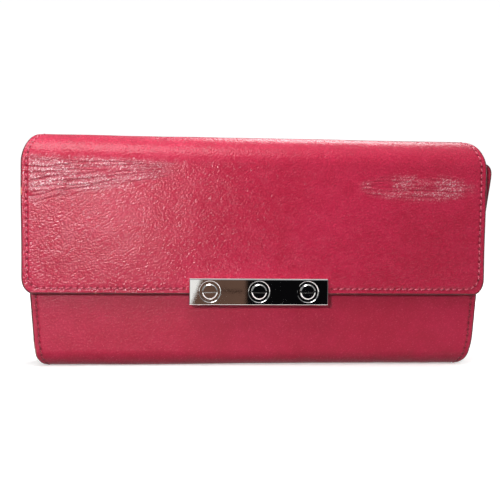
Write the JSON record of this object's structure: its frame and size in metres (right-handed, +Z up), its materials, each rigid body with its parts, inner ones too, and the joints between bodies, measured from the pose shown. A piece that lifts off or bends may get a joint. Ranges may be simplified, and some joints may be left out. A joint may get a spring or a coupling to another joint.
{
  "type": "long wallet",
  "caption": "Long flap wallet in grained leather, with a screwed metal plaque, bill compartments, card slots and a zipped coin pocket.",
  "frame": {"origin": "centre of the bounding box's underside, on the rolled base that the closed wallet stands on", "axes": "+X to the right seen from the front, +Y from the flap to the back panel, +Z up from the base to the top roll"},
  "size_m": [0.198, 0.0308, 0.097],
  "materials": {
    "hide": "pebbled grain, satin, edges painted dark red",
    "lining": "smooth, matt",
    "board": "plain fibre",
    "gusset": "thin, smooth",
    "zip_tape": "woven",
    "zip_metal": "nickel plated",
    "plaque_metal": "mirror-polished nickel plate",
    "snap_metal": "nickel plated"
  },
  "bodies": {
    "back": {"back_leather": "hide", "back_lining": "lining", "back_board": "board", "base_board": "board", "card_slot_back_1": "lining", "card_slot_back_2": "lining", "card_slot_back_3": "lining", "gusset_rear_left": "gusset", "gusset_rear_right": "gusset"},
    "roll": {"roll_leather": "hide", "roll_lining": "lining"},
    "flap": {"flap_leather": "hide", "flap_lining": "lining", "flap_board": "board", "plaque": "plaque_metal", "plaque_screw_left": "plaque_metal", "plaque_screw_centre": "plaque_metal", "plaque_screw_right": "plaque_metal", "backplate_left": "snap_metal", "backplate_right": "snap_metal", "snap_socket": "snap_metal"},
    "front": {"front_leather": "hide", "front_lining": "lining", "front_board": "board", "snap_rivet": "snap_metal", "snap_stud": "snap_metal", "card_slot_front_1": "lining", "card_slot_front_2": "lining", "card_slot_front_3": "lining", "gusset_front_left": "gusset", "gusset_front_right": "gusset"},
    "coin_pocket": {"coin_pocket_leather": "gusset", "coin_pocket_side_left": "gusset", "coin_pocket_side_right": "gusset", "zip_tape_front": "zip_tape", "zip_tape_rear": "zip_tape", "zip_teeth_front": "zip_metal", "zip_teeth_rear": "zip_metal", "zip_stop_left": "zip_metal", "zip_stop_right": "zip_metal"},
    "zip_slider": {"zip_slider": "zip_metal"},
    "zip_puller": {"zip_puller": "zip_metal"}
  },
  "joints": [
    {"name": "flap_lift", "type": "hinge", "parent": "back", "child": "roll", "pos_m": [0, 0.01276, 0.09436], "axis": [-1, 0, 0], "range_deg": [0, 90]},
    {"name": "flap_unfold", "type": "hinge", "parent": "roll", "child": "flap", "pos_m": [0, -0.00919, 0.09348], "axis": [-1, 0, 0], "range_deg": [0, 90]},
    {"name": "front_open", "type": "hinge", "parent": "back", "child": "front", "pos_m": [0, -0.00695, 0.00205], "axis": [1, 0, 0], "range_deg": [0, 20], "deforming": ["gusset_rear_left", "gusset_rear_right", "gusset_front_left", "gusset_front_right"]},
    {"name": "coin_pocket_lean", "type": "hinge", "parent": "front", "child": "coin_pocket", "pos_m": [0, -0.00695, 0.00205], "axis": [1, 0, 0], "range_deg": [-10, 0], "deforming": ["gusset_rear_left", "gusset_rear_right", "gusset_front_left", "gusset_front_right"]},
    {"name": "zip_slide", "type": "slide", "parent": "coin_pocket", "child": "zip_slider", "axis": [-1, 0, 0], "range_m": [0, 0.15], "deforming": ["zip_tape_front", "zip_tape_rear", "zip_teeth_front", "zip_teeth_rear"]},
    {"name": "puller_flip", "type": "hinge", "parent": "zip_slider", "child": "zip_puller", "pos_m": [0.076, 0.0032, 0.07795], "axis": [0, 1, 0], "range_deg": [0, 180]}
  ],
  "couplings": [
    {"joint": "flap_unfold", "follows": "flap_lift", "ratio": 1},
    {"joint": "front_open", "follows": "flap_lift", "ratio": 0.22222},
    {"joint": "coin_pocket_lean", "follows": "flap_lift", "ratio": -0.11111}
  ]
}
